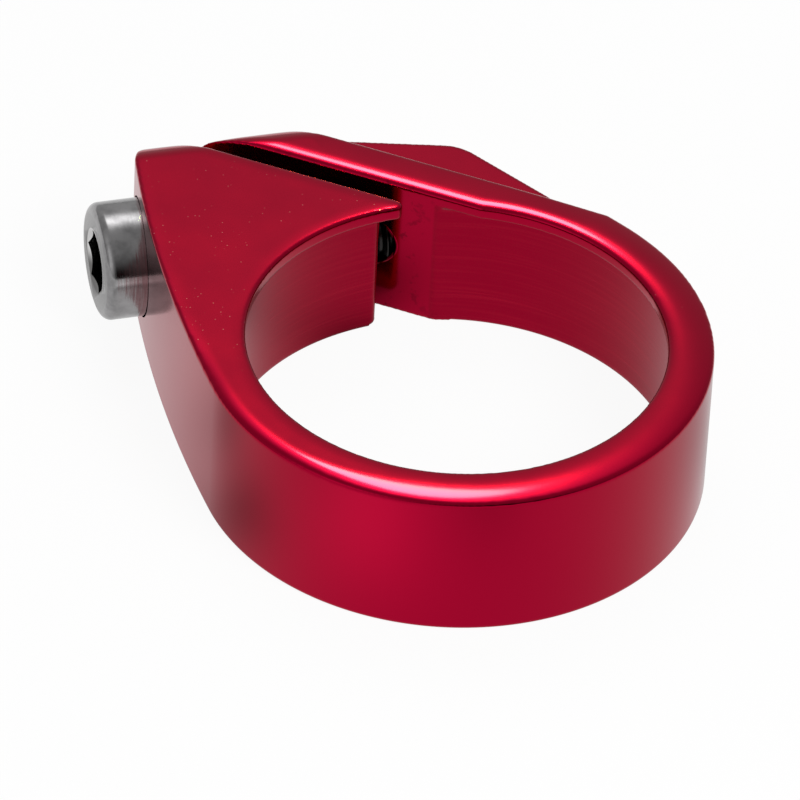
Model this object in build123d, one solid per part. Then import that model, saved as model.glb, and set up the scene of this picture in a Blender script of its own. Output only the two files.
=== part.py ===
from build123d import *
import os
from math import acos, asin, cos, degrees, radians, sin, sqrt, tan

# Bolt-on seatpost clamp: a split aluminium collar and the cap screw that closes it.
# Millimetres. The origin is on the bore's axis at the bottom face. +Z runs up the bore,
# +X runs along the bolt from its head to its thread, and +Y points from the bore to the lugs.

# Ring, with a lip over the seat tube's end
tube_diameter = 31.8
wall = 2.15
height = 11.5
lip_overhang = 1.1
lip_thickness = 1.1

# Lug on the bolt head's side, with a long shallow face that leaves the ring on a tangent
bolt_from_bore = 4.2
end_from_bolt = 6.85
end_radius = 3.0
face_radius = 110.0
face_angle = 185.6
lug_corner_radius = 4.0
corner_overrun = 0.4

# Slanted slot, and the tongue that stands behind it
slot_angle = 36.4
slot_width = 1.7
tongue_step = 0.5
tongue_thickness = 3.2
tongue_corner_radius = 8.0

# Threaded boss behind the tongue, milled lower than the ring
boss_drop = 1.6
boss_back_angle = 15.0
boss_back_from_bolt = 3.75
boss_tip_radius = 3.2
boss_flank_angle = 33.6

# Rounded outer edges, and the chamfer round the slot and the openings
edge_radius = 0.55
slot_chamfer = 0.4
slot_edge_radius = 0.6

# Cap screw
thread_diameter = 5.0
bolt_length = 22.0
head_diameter = 8.5
head_height = 5.0
head_edge_radius = 0.7
head_sink = 1.75
socket_across_flats = 4.0
socket_depth = 2.6
socket_cone_angle = 120.0
bolt_end_chamfer = 0.6

# Radial clearances round the screw
head_clearance = 0.12
shank_clearance = 0.15
thread_clearance = 0.05

bore_radius = tube_diameter / 2
lip_radius = bore_radius - lip_overhang
ring_radius = bore_radius + wall
bolt_offset = bore_radius + bolt_from_bore
bolt_height = height / 2
lug_end = bolt_offset + end_from_bolt
plan_end = lug_end + corner_overrun
boss_height = height - boss_drop
reach = 4 * ring_radius


def polar(radius, angle):
    return Vector(radius * cos(radians(angle)), radius * sin(radians(angle)))


# slot_run points down the slot to the bore, and slot_normal from the head's lug to the tongue.
slot_run = polar(1, -slot_angle)
slot_normal = polar(1, 90 - slot_angle)

# The slot's faces, as distances from the bore's axis
slot_outer = lip_radius - tongue_step
slot_inner = slot_outer - slot_width

# The head-side face is an arc, touching the ring from outside at face_angle.
face_centre = polar(face_radius - ring_radius, face_angle - 180)


def face_x(y):
    return face_centre.X - sqrt(face_radius**2 - (y - face_centre.Y) ** 2)


def end_point(offset):
    # Where a plane along the slot, offset from the bore's axis, meets the plan's end line.
    return Vector((offset - slot_normal.Y * plan_end) / slot_normal.X, plan_end)


def round_corners(sketch, corners):
    for point, radius in corners:
        vertex = sketch.vertices().sort_by_distance(point)[0]
        sketch = fillet(vertex, radius)
    return sketch


def outline():
    corner = Vector(face_x(plan_end), plan_end)
    face_end_angle = 180 - degrees(asin((plan_end - face_centre.Y) / face_radius))
    face = CenterArc(face_centre, face_radius, face_angle, face_end_angle - face_angle)
    back_normal = polar(1, 90 - boss_back_angle)
    back_offset = bolt_offset + boss_back_from_bolt
    back_start = Vector((back_offset - back_normal.Y * plan_end) / back_normal.X, plan_end)
    flank_start = polar(ring_radius, boss_flank_angle)
    # The flank leaves the ring on a tangent and meets the boss's back at the tip.
    flank_run = polar(1, boss_flank_angle + 90)
    flank_length = back_normal.dot(back_start - flank_start) / back_normal.dot(flank_run)
    tip = flank_start + flank_run * flank_length
    edges = [
        face,
        Line(corner, back_start),
        Line(back_start, tip),
        Line(tip, flank_start),
        CenterArc((0, 0), ring_radius, boss_flank_angle, face_angle - 360 - boss_flank_angle),
    ]
    corners = [(corner, lug_corner_radius), (tip, boss_tip_radius)]
    return round_corners(make_face(edges), corners)


def slot_meets(radius, offset):
    # The angle at which a slot face, offset from the bore's axis, meets a circle round that axis.
    return 90 - slot_angle + degrees(acos(offset / radius))


def plan(radius):
    # The collar in plan, with its opening of the given radius.
    outer_angle = slot_meets(radius, slot_outer)
    inner_angle = slot_meets(radius, slot_inner)
    outer_start = polar(radius, outer_angle)
    inner_start = polar(radius, inner_angle)
    outer_end = outer_start - slot_run * reach
    inner_end = outer_end - slot_normal * slot_width
    edges = [
        Line(outer_start, outer_end),
        Line(outer_end, inner_end),
        Line(inner_end, inner_start),
        CenterArc((0, 0), radius, inner_angle, 360 + outer_angle - inner_angle),
    ]
    corners = [(inner_start, slot_edge_radius), (outer_start, slot_edge_radius)]
    return round_corners(outline() - make_face(edges), corners)


def tongue_keep():
    # What stays at full height: all that lies before the tongue's back, with a rounded outer end.
    corner = end_point(slot_outer + tongue_thickness)
    back_end = corner + slot_run * reach
    points = [
        corner,
        back_end,
        Vector(back_end.X, -reach),
        Vector(-reach, -reach),
        Vector(-reach, plan_end),
    ]
    return round_corners(make_face(Polyline(*points, close=True)), [(corner, tongue_corner_radius)])


def slab():
    # The blank's side view: level top and bottom, with the lugs' ends rounded over.
    length = reach + lug_end
    side = Pos((lug_end - reach) / 2, height / 2) * Rectangle(length, height)
    corners = [((lug_end, 0), end_radius), ((lug_end, height), end_radius)]
    return extrude(Plane.YZ * round_corners(side, corners), reach, both=True)


def along_bolt(x, shape):
    return Pos(x, bolt_offset, bolt_height) * Rot(0, 90, 0) * shape


def rod(radius, length):
    return Cylinder(radius, length, align=(Align.CENTER, Align.CENTER, Align.MIN))


seat_x = face_x(bolt_offset) + head_sink
head_x = seat_x - head_height
slot_middle_x = (slot_outer - slot_width / 2 - slot_normal.Y * bolt_offset) / slot_normal.X


def top_edge(body, point):
    return body.edges().sort_by_distance(Vector(point.X, point.Y, height))[0]


def clamp_collar():
    bore_depth = height - lip_thickness
    body = Pos(0, 0, -reach) * extrude(plan(bore_radius), bore_depth + reach)
    body += Pos(0, 0, bore_depth) * extrude(plan(lip_radius), reach)
    body &= slab()
    milled = Rectangle(4 * reach, 4 * reach) - tongue_keep()
    body -= Pos(0, 0, boss_height) * extrude(milled, height)

    # One edge of each smooth run is named, and the chamfer or rounding follows it round the part.
    slot_face = slot_normal * slot_outer - slot_run * bore_radius
    body = chamfer(top_edge(body, slot_face), slot_chamfer)
    body = fillet(top_edge(body, polar(ring_radius, -90)), edge_radius)

    body -= along_bolt(seat_x - reach, rod(head_diameter / 2 + head_clearance, reach))
    body -= along_bolt(seat_x, rod(thread_diameter / 2 + shank_clearance, slot_middle_x - seat_x))
    body -= along_bolt(slot_middle_x, rod(thread_diameter / 2 + thread_clearance, reach))
    return body


def clamp_bolt():
    head = rod(head_diameter / 2, head_height)
    head = fillet(head.edges().sort_by(Axis.Z)[0], head_edge_radius)
    shank = rod(thread_diameter / 2, bolt_length)
    shank = chamfer(shank.edges().sort_by(Axis.Z)[-1], bolt_end_chamfer)
    socket = extrude(RegularPolygon(socket_across_flats / 2, 6, major_radius=False), socket_depth)
    cone_depth = socket_across_flats / 2 / tan(radians(socket_cone_angle / 2))
    cone = Cone(socket_across_flats / 2, 0, cone_depth, align=(Align.CENTER, Align.CENTER, Align.MIN))
    bolt = head + Pos(0, 0, head_height) * shank - socket - Pos(0, 0, socket_depth) * cone
    return along_bolt(head_x, bolt)


os.makedirs("parts", exist_ok=True)
for name, solid in {"clamp_collar": clamp_collar(), "clamp_bolt": clamp_bolt()}.items():
    solid.label = name
    export_step(solid, f"parts/{name}.step")
    print(name, round(solid.volume, 1))
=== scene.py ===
from math import acos, asin, atan2, cos, degrees, pi, radians, sin, sqrt, tan
import bpy
import numpy as np
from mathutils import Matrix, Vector


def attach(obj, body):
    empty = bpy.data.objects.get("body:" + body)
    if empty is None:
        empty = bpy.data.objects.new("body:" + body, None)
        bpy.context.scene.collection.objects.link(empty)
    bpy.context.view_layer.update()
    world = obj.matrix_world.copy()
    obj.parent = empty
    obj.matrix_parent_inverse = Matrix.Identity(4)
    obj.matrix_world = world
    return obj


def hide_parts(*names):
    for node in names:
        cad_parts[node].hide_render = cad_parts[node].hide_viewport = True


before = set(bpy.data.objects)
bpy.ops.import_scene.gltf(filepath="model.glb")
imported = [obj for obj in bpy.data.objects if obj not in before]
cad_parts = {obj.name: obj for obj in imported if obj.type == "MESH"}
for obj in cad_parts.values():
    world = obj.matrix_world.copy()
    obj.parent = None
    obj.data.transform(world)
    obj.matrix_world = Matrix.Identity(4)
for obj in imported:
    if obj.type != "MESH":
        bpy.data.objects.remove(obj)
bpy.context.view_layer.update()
print("frame loaded")

# pieces are modelled in millimetres, as the CAD is, and brought to metres at the end
millimetre = 0.001
nearBy = 0.01  # a point this close to a plane lies in it
cornerSteps = 14  # straight runs in a rounded corner
alongX = (0, pi / 2, 0)  # turns a cylinder or a cone onto the screw's axis
boreAxis = Vector((0, 0))


def deselectAll():
    if bpy.context.object and bpy.context.object.mode != "OBJECT":
        bpy.ops.object.mode_set(mode="OBJECT")
    bpy.ops.object.select_all(action="DESELECT")


def pick(obj):
    deselectAll()
    obj.select_set(True)
    bpy.context.view_layer.objects.active = obj


def newest(name):
    obj = bpy.context.object
    obj.name = name
    obj.data.name = name
    return obj


def settle(obj):
    pick(obj)
    bpy.ops.object.transform_apply(location=True, rotation=True, scale=True)
    return obj


def finishWith(obj, kind, **settings):
    pick(obj)
    modifier = obj.modifiers.new(kind.lower(), kind)
    for key, value in settings.items():
        setattr(modifier, key, value)
    bpy.ops.object.modifier_apply(modifier=modifier.name)


def carve(obj, tool, operation="DIFFERENCE"):
    finishWith(obj, "BOOLEAN", object=tool, operation=operation, solver="EXACT")
    bpy.data.objects.remove(tool)


def faceOutwards():
    bpy.ops.mesh.select_all(action="SELECT")
    bpy.ops.mesh.normals_make_consistent(inside=False)


def drawLine(name, points, level=0.0):
    # one vertex is drawn along the points, over a level, and the object stays in edit mode
    deselectAll()
    bpy.ops.mesh.primitive_plane_add(size=1, location=(0, 0, level))
    obj = settle(newest(name))
    bpy.ops.object.mode_set(mode="EDIT")
    bpy.ops.mesh.select_all(action="SELECT")
    bpy.ops.mesh.merge(type="CENTER")
    bpy.ops.transform.translate(value=points[0])
    for here, there in zip(points, points[1:]):
        step = tuple(b - a for a, b in zip(here, there))
        bpy.ops.mesh.extrude_vertices_move(TRANSFORM_OT_translate={"value": step})
    return obj


def drawPrism(name, outline, low, high):
    # the outline is drawn, filled and pulled up
    obj = drawLine(name, [(x, y, 0) for x, y in outline], low)
    bpy.ops.mesh.select_all(action="SELECT")
    bpy.ops.mesh.edge_face_add()
    bpy.ops.mesh.extrude_region_move(TRANSFORM_OT_translate={"value": (0, 0, high - low)})
    faceOutwards()
    bpy.ops.object.mode_set(mode="OBJECT")
    return obj


def addBox(name, centre, size):
    deselectAll()
    bpy.ops.mesh.primitive_cube_add(size=1, location=centre, scale=size)
    return settle(newest(name))


def addRod(name, radius, start, end, sides=128):
    # a cylinder between two points that lie on a line along X or along Z
    start, end = Vector(start), Vector(end)
    along = end - start
    deselectAll()
    bpy.ops.mesh.primitive_cylinder_add(
        vertices=sides, radius=radius, depth=along.length, location=(start + end) / 2,
        rotation=alongX if abs(along.x) > abs(along.z) else (0, 0, 0),
    )
    return settle(newest(name))


def inPlane(axis, place):
    return lambda *points: all(abs(p[axis] - place) < nearBy for p in points)


def bevelEdges(obj, chosen, width, segments):
    # rounds the edges whose two ends are chosen
    bpy.ops.object.mode_set(mode="EDIT")
    bpy.ops.mesh.select_all(action="DESELECT")
    bpy.ops.object.mode_set(mode="OBJECT")
    for edge in obj.data.edges:
        edge.select = chosen(*(obj.data.vertices[i].co for i in edge.vertices))
    bpy.ops.object.mode_set(mode="EDIT")
    bpy.ops.mesh.select_mode(type="EDGE")
    bpy.ops.mesh.bevel(offset=width, segments=segments, affect="EDGES")
    bpy.ops.mesh.select_mode(type="VERT")
    bpy.ops.object.mode_set(mode="OBJECT")


def readPoints(obj):
    flat = np.empty(len(obj.data.vertices) * 3)
    obj.data.vertices.foreach_get("co", flat)
    return flat.reshape(-1, 3)


def writePoints(obj, points):
    obj.data.vertices.foreach_set("co", points.ravel())
    obj.data.update()


def toMetres(obj):
    pick(obj)
    bpy.ops.transform.resize(value=(millimetre, millimetre, millimetre), center_override=(0, 0, 0))
    settle(obj)


def polar(radius, angle):
    return Vector((radius * cos(radians(angle)), radius * sin(radians(angle))))


def bearing(centre, point):
    return atan2(point.y - centre.y, point.x - centre.x)


def lineMeet(normalA, distanceA, normalB, distanceB):
    turn = normalA.x * normalB.y - normalA.y * normalB.x
    x = (distanceA * normalB.y - distanceB * normalA.y) / turn
    y = (normalA.x * distanceB - normalB.x * distanceA) / turn
    return Vector((x, y))


def arcPoints(centre, radius, start, end, step):
    count = max(2, int(abs(end - start) / step))
    return [tuple(centre + polar(radius, start + (end - start) * i / count)) for i in range(count + 1)]


def roundCorner(before, corner, after, radius):
    # points of the arc that touches both sides of a corner
    toBefore, toAfter = (before - corner).normalized(), (after - corner).normalized()
    half = acos(max(-1, min(1, toBefore.dot(toAfter)))) / 2
    centre = corner + (toBefore + toAfter).normalized() * (radius / sin(half))
    first = bearing(centre, corner + toBefore * (radius / tan(half)))
    last = bearing(centre, corner + toAfter * (radius / tan(half)))
    while last - first > pi:
        last -= 2 * pi
    while last - first < -pi:
        last += 2 * pi
    turns = [first + (last - first) * i / cornerSteps for i in range(cornerSteps + 1)]
    return [(centre.x + radius * cos(turn), centre.y + radius * sin(turn)) for turn in turns]


# the collar, in millimetres and degrees; a pair runs from its first value to its second
collar = {
    # the CAD's own sizes
    "height": 11.5, "boreRadius": 15.9, "lipRadius": 14.8, "lipFrom": 10.4, "ringRadius": 18.05,
    "lugEnd": 26.95, "endRadius": 3.0, "overrun": 0.4, "cornerRadius": 4.0,
    "faceRadius": 110.0, "faceAngle": 185.6,
    "slotAngle": 36.4, "slotInner": 12.6, "slotOuter": 14.3, "slotRound": 0.55,
    "tongueBack": 17.5, "tongueCorner": 8.0,
    "bossHeight": 9.9, "bossBackAngle": 15.0, "bossBack": 23.85, "bossFlank": 33.6, "bossTip": 3.2,
    "boltOffset": 20.1, "headSink": 1.75, "headHole": 4.37, "shankHole": 2.65, "threadHole": 2.55,
    # how finely the outline is drawn
    "boreSides": 480, "endSteps": 24, "faceStep": 0.3, "ringStep": 0.7, "mouthStep": 8,
    "cornerAim": 3, "cornerGap": 0.2,  # before the lug's corner: where the face is sighted and ends
    # how far the blank and the cutting tools run past the faces
    "blankPast": 2, "blankWidth": 120, "blankLength": 100, "drillPast": 3, "cutterPast": 4,
    "lipOverlap": 1, "slotOverlap": 0.5, "slotReach": 40,
    "slotClose": (-2, 9),  # where the slot's cutter closes inside the bore, along the slot and out
    "millLength": 60, "millPast": 20, "millWidth": 40,
    "drillReach": 40, "shankOverlap": 1, "shankTo": -4.5, "threadFrom": -6,
    # the finish
    "voxel": 0.11, "smoothFactor": 0.5, "smoothing": 14, "triangles": 185000, "smoothBelow": 80,
    # the crowned top: width and depth of its fall to the rim and to the lip, and where they change
    "rimWidth": (1.1, 2.1), "rimCrown": (0.05, 0.28), "lipWidth": 1.15, "lipCrown": (0.05, 0.20),
    "sidesMeet": 100, "bossFade": (65, 20), "faceFade": (160, 190),
    "rimFade": (210, 250), "lipFade": (-50, 0),
    "tongueFrom": 39.5, "slotLipTo": -3.9,  # where the tongue leaves the ring, and its slot wall the lip
    "crownFade": (10.0, 11.4), "crownPast": 0.15,
    # the foot: radius of its edges and of the slot's mouth, and which points follow them
    "footRound": 0.3, "mouthRound": 0.5, "wallSlack": 0.1, "slotMargin": 0.5, "boreClear": 60,
    "footReach": 1.3, "footCore": 0.5,
}

slotRun = polar(1, -collar["slotAngle"])  # down the slot to the bore
slotNormal = polar(1, 90 - collar["slotAngle"])  # from the head's lug to the tongue
slotMiddle = (collar["slotInner"] + collar["slotOuter"]) / 2
faceCentre = polar(collar["faceRadius"] - collar["ringRadius"], collar["faceAngle"] - 180)
boltY, boltZ = collar["boltOffset"], collar["height"] / 2


def faceX(y):
    return faceCentre.x - sqrt(collar["faceRadius"] ** 2 - (y - faceCentre.y) ** 2)


seatX = faceX(boltY) + collar["headSink"]


def boltRod(name, radius, fromX, toX, sides=128):
    return addRod(name, radius, (fromX, boltY, boltZ), (toX, boltY, boltZ), sides)


def slotPoint(along, out):
    return slotRun * along + slotNormal * out


def mouthCentre(c, radius, wall, way):
    # where the rounding between a slot wall and an opening has its centre, along the slot and out
    out = wall + way * c["slotRound"]
    return -sqrt((radius + c["slotRound"]) ** 2 - out ** 2), out


def slotPlan(c, radius):
    # the slot in plan, with its mouth rounded into an opening of the given radius
    sides = []
    for wall, way in ((c["slotInner"], -1), (c["slotOuter"], 1)):
        centre = slotPoint(*mouthCentre(c, radius, wall, way))
        lineEnd = centre - slotNormal * way * c["slotRound"]
        circleEnd = centre * (radius / (radius + c["slotRound"]))
        first, last = degrees(bearing(centre, lineEnd)), degrees(bearing(centre, circleEnd))
        last += 360 * round((first - last) / 360)
        farEnd = tuple(lineEnd - slotRun * c["slotReach"])
        sides.append([farEnd] + arcPoints(centre, c["slotRound"], first, last, c["mouthStep"]))
    return sides[0] + [tuple(slotPoint(*c["slotClose"]))] + sides[1][::-1]


def collarPlan(c):
    # the outline without bore and slot: face, lug's corner, boss and ring
    planEnd = c["lugEnd"] + c["overrun"]
    backNormal, flankNormal = polar(1, 90 - c["bossBackAngle"]), polar(1, c["bossFlank"])
    corner = Vector((faceX(planEnd), planEnd))
    beforeCorner = Vector((faceX(planEnd - c["cornerAim"]), planEnd - c["cornerAim"]))
    backStart = lineMeet(Vector((0, 1)), planEnd, backNormal, c["bossBack"])
    tip = lineMeet(backNormal, c["bossBack"], flankNormal, c["ringRadius"])
    flankStart = polar(c["ringRadius"], c["bossFlank"])
    faceEnd = 180 - degrees(asin((planEnd - faceCentre.y) / c["faceRadius"]))
    lugCorner = roundCorner(beforeCorner, corner, backStart, c["cornerRadius"])
    face = arcPoints(faceCentre, c["faceRadius"], c["faceAngle"], faceEnd, c["faceStep"])
    face = [p for p in face if p[1] < lugCorner[0][1] - c["cornerGap"]]
    bossTip = roundCorner(backStart, tip, flankStart, c["bossTip"])
    ring = arcPoints(boreAxis, c["ringRadius"], c["bossFlank"], c["faceAngle"] - 360, c["ringStep"])
    return face + lugCorner + [tuple(backStart)] + bossTip + ring[:-1]


def millPlan(c):
    # all that is milled lower, behind the tongue
    planEnd = c["lugEnd"] + c["overrun"]
    tongueEnd = lineMeet(slotNormal, c["tongueBack"], Vector((0, 1)), planEnd)
    far = tongueEnd + slotRun * c["millLength"]
    nearX, farX = tongueEnd.x - c["millPast"], far.x + c["millWidth"]
    corner = roundCorner(far, tongueEnd, tongueEnd - Vector((c["millPast"], 0)), c["tongueCorner"])
    around = [(nearX, planEnd), (nearX, c["millLength"]), (farX, c["millLength"]), (farX, far.y)]
    return [tuple(far)] + corner + around


def addSide(c):
    # the blank's side view, with the lugs' ends rolled over
    length, atEnd = c["blankLength"], inPlane(1, c["lugEnd"])
    centre = (0, c["lugEnd"] - length / 2, c["height"] / 2)
    side = addBox("side", centre, (c["blankWidth"], length, c["height"]))
    bevelEdges(side, lambda a, b: atEnd(a, b) and abs(a.x - b.x) > nearBy, c["endRadius"], c["endSteps"])
    return side


def fade(value, span):
    share = np.clip((value - span[0]) / (span[1] - span[0]), 0, 1)
    return share * share * (3 - 2 * share)


def between(span, share):
    return span[0] + (span[1] - span[0]) * share


def fall(share):
    return (1 - np.clip(share, 0, 1)) ** 2


def crownTop(obj, c):
    # the top face is turned slightly convex, most of all on the ring
    points = readPoints(obj)
    x, y, z = points.T
    along, out = x * slotRun.x + y * slotRun.y, x * slotNormal.x + y * slotNormal.y
    radius, angle = np.hypot(x, y), np.degrees(np.arctan2(y, x))
    around = np.where(angle < -90, angle + 360, angle)
    headSide, pastSlot = around > c["sidesMeet"], out > slotMiddle
    onTongue = pastSlot & (angle > c["tongueFrom"])
    onLug = ~pastSlot & ((angle > 90) | (angle < c["faceAngle"] - 360))
    # distances from the outer edge and from the edge of the opening
    fromFace = c["faceRadius"] - np.hypot(x - faceCentre.x, y - faceCentre.y)
    outer = np.where(onTongue, c["tongueBack"] - out, c["ringRadius"] - radius)
    outer = np.where(onLug, fromFace, outer)
    inner = np.where(pastSlot & (along < c["slotLipTo"]), out - c["slotOuter"], radius - c["lipRadius"])
    inner = np.where(~pastSlot & (along < 0), np.minimum(inner, c["slotInner"] - out), inner)
    ringShare = np.where(headSide, fade(around, c["faceFade"]), fade(around, c["bossFade"]))
    rimWidth = between(c["rimWidth"], np.where(headSide, fade(around, c["rimFade"]), 1))
    rim = between(c["rimCrown"], ringShare) * fall(outer / rimWidth)
    lip = between(c["lipCrown"], fade(angle, c["lipFade"]) * ~onLug) * fall(inner / c["lipWidth"])
    atTop = fade(z, c["crownFade"]) * (out < c["tongueBack"] + c["crownPast"])
    points[:, 2] = z - (rim + lip) * atTop
    writePoints(obj, points)


def roundFoot(obj, c):
    # the bottom edges run over in an even arc: outside, in the bore and at the slot's mouth
    points = readPoints(obj)
    x, y, z = points.T
    along, out = x * slotRun.x + y * slotRun.y, x * slotNormal.x + y * slotNormal.y
    angle = np.degrees(np.arctan2(y, x))
    headSide = angle > 90
    onFace = headSide | (angle < c["faceAngle"] - 360)
    onRing = ~onFace & (angle < c["bossFlank"])
    mouthAlong, mouthOut = mouthCentre(c, c["boreRadius"], c["slotInner"], -1)
    mouthTurn = np.degrees(np.arctan2(out - mouthOut, along - mouthAlong))
    mouthFrom = degrees(atan2(-mouthOut, -mouthAlong))
    onMouth = headSide & (mouthTurn > mouthFrom) & (mouthTurn <= 90)
    onWall = headSide & (out > mouthOut) & (out < c["slotInner"] + c["wallSlack"]) & (along < mouthAlong)
    clear = (out < c["slotInner"] - c["slotMargin"]) | (out > c["slotOuter"] + c["slotMargin"])
    clear |= angle < c["boreClear"]
    flat = 100000.0  # a slot wall is taken as an arc of this radius
    edges = [  # the wall's centre, its radius, which way its metal lies, the rounding and the points
        (faceCentre, c["faceRadius"], 1, c["footRound"], onFace & (y < c["lugEnd"] - c["endRadius"])),
        (boreAxis, c["ringRadius"], 1, c["footRound"], onRing),
        (boreAxis, c["boreRadius"], -1, c["footRound"], clear),
        (slotNormal * -flat, c["slotInner"] + flat, 1, c["mouthRound"], onWall),
        (slotPoint(mouthAlong, mouthOut), c["slotRound"], 1, c["mouthRound"], onMouth),
    ]
    for centre, radius, inward, rounding, chosen in edges:
        fromX, fromY = x - centre.x, y - centre.y
        away = np.hypot(fromX, fromY)
        across, up = rounding - (radius - away) * inward, rounding - z
        length = np.hypot(across, up)
        moved = chosen & (across > 0) & (up > 0)
        moved &= (across < c["footReach"] * rounding) & (length > c["footCore"] * rounding)
        length = np.maximum(length, nearBy)
        newAway = radius - (rounding - across * rounding / length) * inward
        x[moved] = (centre.x + fromX * newAway / away)[moved]
        y[moved] = (centre.y + fromY * newAway / away)[moved]
        z[moved] = (rounding - up * rounding / length)[moved]
    writePoints(obj, points)


def buildCollar(c):
    height, lipFrom, past = c["height"], c["lipFrom"], c["cutterPast"]
    body = drawPrism("collar", collarPlan(c), -c["blankPast"], height + c["blankPast"])
    carve(body, addSide(c), "INTERSECT")
    lipLow, lipHigh = (0, 0, lipFrom - c["lipOverlap"]), (0, 0, height + c["drillPast"])
    carve(body, addRod("bore", c["boreRadius"], (0, 0, -c["drillPast"]), (0, 0, lipFrom), c["boreSides"]))
    carve(body, addRod("lip", c["lipRadius"], lipLow, lipHigh, c["boreSides"]))
    carve(body, drawPrism("lowSlot", slotPlan(c, c["boreRadius"]), -past, lipFrom))
    highFrom = lipFrom - c["slotOverlap"]
    carve(body, drawPrism("highSlot", slotPlan(c, c["lipRadius"]), highFrom, height + past))
    carve(body, drawPrism("mill", millPlan(c), c["bossHeight"], height + past))
    print("collar carved", len(body.data.polygons))
    # tumbled and polished: every edge runs over softly
    finishWith(body, "REMESH", mode="VOXEL", voxel_size=c["voxel"])
    crownTop(body, c)
    finishWith(body, "SMOOTH", factor=c["smoothFactor"], iterations=c["smoothing"])
    roundFoot(body, c)
    print("collar smoothed", len(body.data.polygons))
    finishWith(body, "DECIMATE", ratio=min(1, c["triangles"] / (2 * len(body.data.polygons))))
    # the screw's holes come last, so their edges stay crisp
    carve(body, boltRod("headHole", c["headHole"], -c["drillReach"], seatX))
    carve(body, boltRod("shankHole", c["shankHole"], seatX - c["shankOverlap"], c["shankTo"]))
    carve(body, boltRod("threadHole", c["threadHole"], c["threadFrom"], c["drillReach"]))
    toMetres(body)
    bpy.ops.object.shade_smooth_by_angle(angle=radians(c["smoothBelow"]))
    print("collar polished", len(body.data.polygons))
    return body


collarPiece = buildCollar(collar)


# the cap screw, in millimetres; places along it are given from the seat of its head
screw = {
    "headRadius": 4.25, "headHeight": 5.0, "headRound": 0.7, "headSteps": 8,
    "length": 22.0, "tipChamfer": 0.6,
    "flats": 4.0, "socketDepth": 2.6, "coneDepth": 1.15, "coneOverlap": 0.01, "coneSides": 96,
    "leadInWide": 0.42, "leadInNarrow": -0.4, "leadInDepth": 0.48, "leadInAt": 0.2,  # radii past the flats
    "threadRadius": 2.5, "rootRadius": 2.05, "pitch": 0.8, "flanks": (0.12, 0.45, 0.55, 0.88),
    "threadFrom": -0.6, "threadSpare": 2.5, "stepsATurn": 40, "mergeWithin": 0.002, "weldWithin": 0.004,
    "envelopeFrom": -0.3, "envelopeGap": 0.002, "envelopeSides": 96, "smoothBelow": 32,
}


def buildThread(s):
    # one tooth is swept into a helix, its ends are filled and it is turned to size
    pitch, root, crest = s["pitch"], s["rootRadius"], s["threadRadius"]
    shares, radii = (0, *s["flanks"], 1), (root, root, crest, crest, root, root)
    thread = drawLine("thread", [(share * pitch, 0, radius) for share, radius in zip(shares, radii)])
    bpy.ops.object.mode_set(mode="OBJECT")
    turns = int((s["length"] + s["threadSpare"]) / pitch)
    finishWith(
        thread, "SCREW", axis="X", screw_offset=pitch, iterations=turns,
        steps=s["stepsATurn"], render_steps=s["stepsATurn"],
        use_merge_vertices=True, merge_threshold=s["mergeWithin"],
    )
    bpy.ops.object.mode_set(mode="EDIT")
    bpy.ops.mesh.select_all(action="SELECT")
    bpy.ops.mesh.remove_doubles(threshold=s["weldWithin"])
    bpy.ops.mesh.fill_holes(sides=0)
    faceOutwards()
    bpy.ops.transform.translate(value=(seatX + s["threadFrom"], boltY, boltZ))
    bpy.ops.object.mode_set(mode="OBJECT")
    tipX, radius = seatX + s["length"], crest - s["envelopeGap"]
    envelope = boltRod("envelope", radius, seatX + s["envelopeFrom"], tipX, s["envelopeSides"])
    bevelEdges(envelope, inPlane(0, tipX), s["tipChamfer"], 1)
    carve(thread, envelope, "INTERSECT")
    return thread


def addCone(name, wide, narrow, depth, x, sides):
    deselectAll()
    bpy.ops.mesh.primitive_cone_add(
        vertices=sides, radius1=wide, radius2=narrow, depth=depth,
        location=(x, boltY, boltZ), rotation=alongX,
    )
    return settle(newest(name))


def addHexagon(name, flats, depth, x):
    deselectAll()
    bpy.ops.mesh.primitive_cylinder_add(
        vertices=6, radius=flats / 2 / cos(pi / 6), depth=depth, location=(x, boltY, boltZ), rotation=alongX,
    )
    return settle(newest(name))


def buildScrew(s):
    headX, half, sides = seatX - s["headHeight"], s["flats"] / 2, s["coneSides"]
    body = boltRod("capScrew", s["headRadius"], headX, seatX)
    bevelEdges(body, inPlane(0, headX), s["headRound"], s["headSteps"])
    carve(body, addHexagon("socket", s["flats"], 2 * s["socketDepth"], headX))
    pointX = headX + s["socketDepth"] + s["coneDepth"] / 2 - s["coneOverlap"]
    carve(body, addCone("drillPoint", half, 0, s["coneDepth"], pointX, sides))
    wide, narrow = half + s["leadInWide"], half + s["leadInNarrow"]
    carve(body, addCone("leadIn", wide, narrow, s["leadInDepth"], headX + s["leadInAt"], sides))
    carve(body, buildThread(s), "UNION")
    toMetres(body)
    bpy.ops.object.shade_smooth_by_angle(angle=radians(s["smoothBelow"]))
    print("screw turned", len(body.data.polygons))
    return body


screwPiece = buildScrew(screw)


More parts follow.
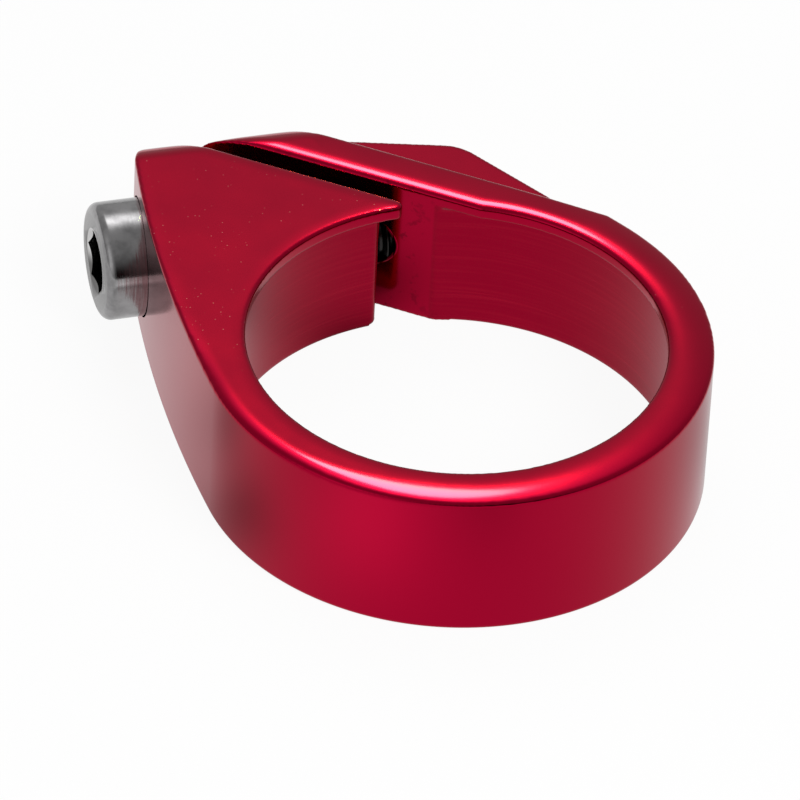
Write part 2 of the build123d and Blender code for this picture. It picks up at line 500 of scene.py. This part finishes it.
class Graph:
    # short hand for shader nodes: every value is a number, a colour, a point or an output
    def __init__(self, tree, start=None):
        self.nodes, self.links = tree.nodes, tree.links
        if start:
            self.place = self.add("TexCoord").outputs[start]

    def feed(self, socket, value):
        if isinstance(value, bpy.types.NodeSocket):
            self.links.new(value, socket)
        else:
            socket.default_value = value

    def add(self, kind, inputs=None, **settings):
        node = self.nodes.new("ShaderNode" + kind)
        for key, value in settings.items():
            setattr(node, key, value)
        for key, value in (inputs or {}).items():
            self.feed(node.inputs[key], value)
        return node

    def calc(self, operation, first, second=0.0, third=0.0):
        return self.add("Math", {0: first, 1: second, 2: third}, operation=operation).outputs[0]

    def times(self, first, *others):
        for other in others:
            first = self.calc("MULTIPLY", first, other)
        return first

    def hypot(self, first, second):
        return self.calc("SQRT", self.calc("ADD", self.times(first, first), self.times(second, second)))

    def project(self, x, y, way):
        return self.calc("ADD", self.times(x, way.x), self.times(y, way.y))

    def gap(self, first, second):
        return self.calc("ABSOLUTE", self.calc("SUBTRACT", first, second))

    def measure(self, operation, point):
        return self.add("VectorMath", {0: self.place, 1: point}, operation=operation).outputs["Value"]

    def ramp(self, value, span):
        inputs = {"Value": value, "From Min": span[0], "From Max": span[1]}
        return self.add("MapRange", inputs, interpolation_type="SMOOTHSTEP").outputs["Result"]

    def parts(self, vector):
        return self.add("SeparateXYZ", {0: vector}).outputs

    def join(self, x, y, z):
        return self.add("CombineXYZ", {0: x, 1: y, 2: z}).outputs[0]

    def noise(self, vector, scale, detail, rough):
        inputs = {"Vector": vector, "Scale": scale, "Detail": detail, "Roughness": rough}
        return self.add("TexNoise", inputs).outputs["Fac"]

    def cells(self, vector, scale):
        node = self.add("TexVoronoi", {"Vector": vector, "Scale": scale})
        return node.outputs["Distance"], node.outputs["Color"]

    def blend(self, share, first, second):
        return self.add("Mix", {0: share, 6: first, 7: second}, data_type="RGBA").outputs[2]

    def bump(self, height, strength, distance):
        inputs = {"Strength": strength, "Distance": distance, "Height": height}
        return self.add("Bump", inputs).outputs[0]


def newMaterial(name):
    material = bpy.data.materials.new(name)
    material.use_nodes = True
    return material, Graph(material.node_tree, "Object"), material.node_tree.nodes["Principled BSDF"]


markNoise = (1.0, 3.0, 0.6)  # scale, detail and roughness


def turningMarks():
    # fine marks that run round a turned face, for both metals
    tree = bpy.data.node_groups.new("turningMarks", "ShaderNodeTree")
    ways = ("Turn", "Along", "Out")
    for name in ways + tuple(way + " Scale" for way in ways):
        tree.interface.new_socket(name, in_out="INPUT", socket_type="NodeSocketFloat")
    tree.interface.new_socket("Marks", in_out="OUTPUT", socket_type="NodeSocketFloat")
    g = Graph(tree)
    given, result = tree.nodes.new("NodeGroupInput"), tree.nodes.new("NodeGroupOutput")
    scaled = [g.times(given.outputs[way], given.outputs[way + " Scale"]) for way in ways]
    g.feed(result.inputs["Marks"], g.noise(g.join(*scaled), *markNoise))
    return tree


def addMarks(g, group, places, scales):
    return g.add("Group", dict(enumerate(places + scales)), node_tree=group).outputs["Marks"]


def aroundBolt(g, y, z):
    # distance from the screw's axis, and the turn about it
    sideways, upwards = g.calc("SUBTRACT", y, boltY * millimetre), g.calc("SUBTRACT", z, boltZ * millimetre)
    return g.hypot(sideways, upwards), g.calc("ARCTAN2", sideways, upwards)


# the collar's finish, in linear colours and metres; a pair is where a ramp starts and ends
anodising = {
    "red": (0.38, 0.0004, 0.025, 1), "coatWeight": 0.035, "coatRoughness": 0.1,
    "sheen": (260.0, 3.0, 0.5), "sheenRough": (0.05, 0.115),
    # the bore's wall and its turning marks
    "boreRed": (0.31, 0.0004, 0.020, 1), "boreWithin": (0.01612, 0.01600), "boreBelow": (0.01060, 0.01040),
    "markRed": (0.36, 0.003, 0.024, 1), "markScales": (1.3, 0.0, 5200.0), "markRamp": (0.42, 0.75),
    "markRough": (0.12, 0.05), "markHeight": 0.05,
    # painted shade of the slot's gap, mottled with smudges, on the tongue's wall beside the screw
    "smudgeShadeRed": (0.02, 0.0, 0.003, 1), "smudgeShadeShare": 0.5, "smudgeShadeAt": -0.0135, "smudgeShadeAlong": (0.0085, 0.002),
    "smudgeShadeOut": (0.0006, 0.0002), "smudgeShadeNoise": (900.0, 4.0, 0.65), "smudgeShadeRamp": (0.56, 0.66),
    # a little dust on the lug's top
    "dustPink": (0.9, 0.35, 0.4, 1), "dustShare": 0.45, "dustScale": 3600.0, "dustSpeck": (0.20, 0.08),
    "dustChosen": 0.80, "dustNoise": (240.0, 2.0, 0.5), "dustRamp": (0.43, 0.57),
    "dustAbove": (0.0110, 0.0112), "dustFrom": (-0.002, 0.004), "dustBefore": (0.0126, 0.0110),
    # the tapped hole, with painted shade inside it, and its thread
    "holeShadeRed": (0.06, 0.0002, 0.003, 1), "holeWithin": (0.0027, 0.0026), "holeFrom": (-0.0045, -0.0040),
    "threadsAMetre": 1250.0, "threadHeight": 2.0, "bump": (0.35, 0.0003),
}


def redAnodised(a, marks):
    material, g, shader = newMaterial("redAnodised")
    x, y, z = g.parts(g.place)
    inBore = g.times(g.ramp(g.hypot(x, y), a["boreWithin"]), g.ramp(z, a["boreBelow"]))
    rings = addMarks(g, marks, (g.calc("ARCTAN2", y, x), 0.0, z), a["markScales"])
    tint = g.blend(inBore, a["red"], a["boreRed"])
    tint = g.blend(g.times(inBore, g.ramp(rings, a["markRamp"])), tint, a["markRed"])

    slotOut, slotAlong = g.project(x, y, slotNormal), g.project(x, y, slotRun)
    nearHole = g.ramp(g.gap(slotAlong, a["smudgeShadeAt"]), a["smudgeShadeAlong"])
    onTongue = g.ramp(g.gap(slotOut, collar["slotOuter"] * millimetre), a["smudgeShadeOut"])
    # painted shade of the slot's gap on the tongue's wall, with mottled smudges
    smudgeAndShade = g.times(nearHole, onTongue, g.ramp(g.noise(g.place, *a["smudgeShadeNoise"]), a["smudgeShadeRamp"]))
    tint = g.blend(g.times(smudgeAndShade, a["smudgeShadeShare"]), tint, a["smudgeShadeRed"])

    near, draw = g.cells(g.place, a["dustScale"])
    speck = g.times(g.ramp(near, a["dustSpeck"]), g.calc("GREATER_THAN", g.parts(draw)[0], a["dustChosen"]))
    onLug = g.times(g.ramp(z, a["dustAbove"]), g.ramp(y, a["dustFrom"]), g.ramp(slotOut, a["dustBefore"]))
    dust = g.times(speck, onLug, g.ramp(g.noise(g.place, *a["dustNoise"]), a["dustRamp"]))
    tint = g.blend(g.times(dust, a["dustShare"]), tint, a["dustPink"])

    boltRadius, boltTurn = aroundBolt(g, y, z)
    inHole = g.times(g.ramp(boltRadius, a["holeWithin"]), g.ramp(x, a["holeFrom"]))
    # painted shade inside the tapped hole
    tint = g.blend(inHole, tint, a["holeShadeRed"])
    turns = g.calc("ADD", g.times(x, a["threadsAMetre"]), g.calc("DIVIDE", boltTurn, 2 * pi))
    helix = g.calc("PINGPONG", turns, 0.5)

    polish = g.calc("MULTIPLY_ADD", g.noise(g.place, *a["sheen"]), *a["sheenRough"])
    boreRough = g.times(inBore, g.calc("MULTIPLY_ADD", rings, *a["markRough"]))
    relief = g.calc("ADD", g.times(rings, inBore, a["markHeight"]), g.times(helix, inHole, a["threadHeight"]))
    g.feed(shader.inputs["Base Color"], tint)
    g.feed(shader.inputs["Metallic"], 1.0)
    g.feed(shader.inputs["Roughness"], g.calc("ADD", polish, boreRough))
    g.feed(shader.inputs["Coat Weight"], a["coatWeight"])
    g.feed(shader.inputs["Coat Roughness"], a["coatRoughness"])
    g.feed(shader.inputs["Normal"], g.bump(relief, *a["bump"]))
    return material


# the screw's finish, in linear colours and metres; places along it are given from its face or its seat
steel = {
    "light": (0.36, 0.353, 0.357, 1), "dark": (0.22, 0.216, 0.219, 1),
    "blotch": (700.0, 4.0, 0.6), "blotchRamp": (0.3, 0.75),
    "markScales": (0.8, 2600.0, 5200.0), "markRough": (0.10, 0.09), "bump": (0.12, 0.0001),
    "face": (0.26, 0.255, 0.255, 1), "faceShare": 0.9,
    "faceUntil": (0.00012, 0.00004), "faceWithin": (0.0037, 0.0034),
    # painted shade inside the hex socket
    "socket": (0.16, 0.157, 0.155, 1), "socketWithin": (0.0025, 0.0023), "socketBefore": (0, -0.0004),
    "leadIn": (0.85, 0.84, 0.84, 1), "leadInUntil": (0.00050, 0.00044), "leadInWithin": (0.00250, 0.00244),
    "leadInHighlightAbove": (0.0042, 0.0056),  # painted highlight: only its upper side is bright
    # the shank and thread: dark oiled steel, and painted shade where they sit in the slot and the hole
    "shank": (0.03, 0.028, 0.027, 1), "shankFrom": (0, 0.0002), "shankRough": 0.15,
}


def satinSteel(s, marks):
    material, g, shader = newMaterial("satinSteel")
    x, y, z = g.parts(g.place)
    radius, turn = aroundBolt(g, y, z)
    fromFace = g.calc("SUBTRACT", x, (seatX - screw["headHeight"]) * millimetre)
    fromSeat = g.calc("SUBTRACT", x, seatX * millimetre)
    onFace = g.times(g.ramp(fromFace, s["faceUntil"]), g.ramp(radius, s["faceWithin"]))
    socketShade = g.times(g.ramp(radius, s["socketWithin"]), g.ramp(fromSeat, s["socketBefore"]))
    upperGlint = g.times(g.ramp(radius, s["leadInWithin"]), g.ramp(z, s["leadInHighlightAbove"]))
    leadInHighlight = g.times(g.ramp(fromFace, s["leadInUntil"]), upperGlint)
    onShank = g.ramp(fromSeat, s["shankFrom"])
    lines = addMarks(g, marks, (turn, x, radius), s["markScales"])
    tint = g.blend(g.ramp(g.noise(g.place, *s["blotch"]), s["blotchRamp"]), s["light"], s["dark"])
    tint = g.blend(g.times(onFace, s["faceShare"]), tint, s["face"])
    # painted shade inside the hex socket
    tint = g.blend(socketShade, tint, s["socket"])
    # painted highlight on the upper side of the socket's lead-in
    tint = g.blend(leadInHighlight, tint, s["leadIn"])
    # dark oiled steel and painted shade on the shank and thread
    tint = g.blend(onShank, tint, s["shank"])
    rough = g.calc("ADD", g.calc("MULTIPLY_ADD", lines, *s["markRough"]), g.times(onShank, s["shankRough"]))
    g.feed(shader.inputs["Base Color"], tint)
    g.feed(shader.inputs["Metallic"], 1.0)
    g.feed(shader.inputs["Roughness"], rough)
    g.feed(shader.inputs["Normal"], g.bump(lines, *s["bump"]))
    return material


def dress(piece, material, body, node):
    piece.data.materials.clear()
    piece.data.materials.append(material)
    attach(piece, body)
    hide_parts(node)


marks = turningMarks()
dress(collarPiece, redAnodised(anodising, marks), "collar", "clamp_collar")
dress(screwPiece, satinSteel(steel, marks), "screw", "clamp_bolt")
print("materials on")


# the studio: a white table in a soft white tent, a lamp for the collar's highlight, a key lamp for the table
studio = {
    "camera": (-0.139988, -0.457880, 0.398382), "turn": (50.58115, -2.42599, -14.56056),
    "lens": 396.536, "sensor": 36, "clip": (0.01, 20),
    "tableSize": 6, "tableDrop": 0.00002, "tableColour": (0.9, 0.9, 0.9, 1),
    "tableRoughness": 0.9, "tableSpecular": 0.1,
    "tableGlow": 0.93, "mirroredGlow": 0.85,  # the glow's share of the table, seen and mirrored
    "poolLevel": 0.86,
    "paintedPools": {  # painted pools of light and shadow in the mirrored table: x, y, change, spread in metres
        "dark": (-0.0205, -0.004, -0.45, 0.005),
        "darkBehind": (-0.0262, 0.005, -0.40, 0.0055),
        "frontLeft": (-0.019, -0.022, 0.45, 0.009),
        "frontRight": (-0.002, -0.034, -0.20, 0.007),
        "right": (0.022, -0.002, -0.25, 0.009),
        "slot": (-0.004, 0.0185, -0.82, 0.0045),
        "headFace": (-0.0238, 0.0268, -0.28, 0.006),
    },
    "sky": {  # the tent as soft lobes, with an opening in front: azimuth, height, radiance, spread in degrees
        "allRound": (73, 60, 0.40, 150),
        "tent": (84, 35, 0.15, 30),
        "hood": (82, 60, 2.6, 9.0),
        "opening": (-82, 9, -0.34, 20),
        "leftFront": (-152, 22, 0.7, 18),
    },
    "lamps": {  # azimuth and height in degrees, width and depth in metres, radiance, colour, mirrored
        "spot": (78, 58, 0.12, 0.11, 130.0, (0.5, 1, 0.17), True),  # tinted, so the red mirrors it pale
        "key": (-65, 48, 0.25, 0.25, 10.0, (1, 1, 1), False),
    },
    "lampsAway": 0.5,
}


def towards(azimuth, elevation):
    level = cos(radians(elevation))
    return Vector((level * cos(radians(azimuth)), level * sin(radians(azimuth)), sin(radians(elevation))))


def addLamp(name, away, azimuth, elevation, width, depth, radiance, colour, mirrored):
    data = bpy.data.lights.new(name, "AREA")
    data.shape = "ELLIPSE"
    data.size, data.size_y = width, depth
    data.energy, data.color = radiance * pi * width * depth * pi / 4, colour
    lamp = bpy.data.objects.new(name, data)
    bpy.context.scene.collection.objects.link(lamp)
    way = towards(azimuth, elevation)
    lamp.location = way * away
    lamp.rotation_euler = (-way).to_track_quat("-Z", "Y").to_euler()
    lamp.visible_camera = False
    lamp.visible_glossy, lamp.visible_diffuse = mirrored, not mirrored
    if mirrored:  # a highlight on the collar alone
        receivers = bpy.data.collections.new(name + "Receivers")
        receivers.objects.link(collarPiece)
        lamp.light_linking.receiver_collection = receivers


def lightSky(lobes):
    world = bpy.data.worlds.new("studioWorld")
    bpy.context.scene.world = world
    world.use_nodes = True
    g = Graph(world.node_tree, "Generated")
    total = 0.0
    for azimuth, elevation, radiance, spread in lobes.values():
        off = g.calc("SUBTRACT", g.measure("DOT_PRODUCT", towards(azimuth, elevation)), 1.0)
        lobe = g.calc("EXPONENT", g.calc("DIVIDE", off, radians(spread) ** 2))
        total = g.calc("MULTIPLY_ADD", lobe, radiance, total)
    sky = g.nodes["Background"]
    g.feed(sky.inputs["Color"], (1, 1, 1, 1))
    g.feed(sky.inputs["Strength"], g.calc("MAXIMUM", total, 0.0))


def whiteTable(s):
    # the table glows white to the camera and keeps the shadow; in reflections it shows painted pools of light
    # and shadow
    material, g, shader = newMaterial("whiteTable")
    g.feed(shader.inputs["Base Color"], s["tableColour"])
    g.feed(shader.inputs["Roughness"], s["tableRoughness"])
    g.feed(shader.inputs["Specular IOR Level"], s["tableSpecular"])
    paintedPool = s["poolLevel"]
    for x, y, change, spread in s["paintedPools"].values():
        away = g.calc("DIVIDE", g.measure("DISTANCE", (x, y, 0)), spread)
        paintedPool = g.calc("MULTIPLY_ADD", g.calc("EXPONENT", g.times(away, away, -1.0)), change, paintedPool)
    path = g.add("LightPath").outputs
    mirrored, through = path["Is Glossy Ray"], path["Is Transmission Ray"]
    level = g.calc("MULTIPLY_ADD", mirrored, g.calc("SUBTRACT", paintedPool, 1.0), 1.0)
    seen = g.times(g.calc("MAXIMUM", path["Is Camera Ray"], through), s["tableGlow"])
    share = g.calc("MAXIMUM", seen, g.times(mirrored, s["mirroredGlow"]))
    glow = g.add("Emission", {"Strength": level})
    mix = g.add("MixShader", {0: share, 1: shader.outputs[0], 2: glow.outputs[0]})
    g.feed(g.nodes["Material Output"].inputs[0], mix.outputs[0])
    return material


def placeCamera(s):
    data = bpy.data.cameras.new("photoCamera")
    data.lens, data.sensor_width = s["lens"], s["sensor"]
    data.clip_start, data.clip_end = s["clip"]
    camera = bpy.data.objects.new("photoCamera", data)
    bpy.context.scene.collection.objects.link(camera)
    camera.location = s["camera"]
    camera.rotation_euler = [radians(angle) for angle in s["turn"]]
    bpy.context.scene.camera = camera


def buildStudio(s):
    deselectAll()
    bpy.ops.mesh.primitive_plane_add(size=s["tableSize"], location=(0, 0, -s["tableDrop"]))
    table = newest("table")
    table.data.materials.append(whiteTable(s))
    lightSky(s["sky"])
    for name, values in s["lamps"].items():
        addLamp(name, s["lampsAway"], *values)
    placeCamera(s)
    bpy.context.scene.view_settings.view_transform = "Standard"
    print("studio lit")


buildStudio(studio)
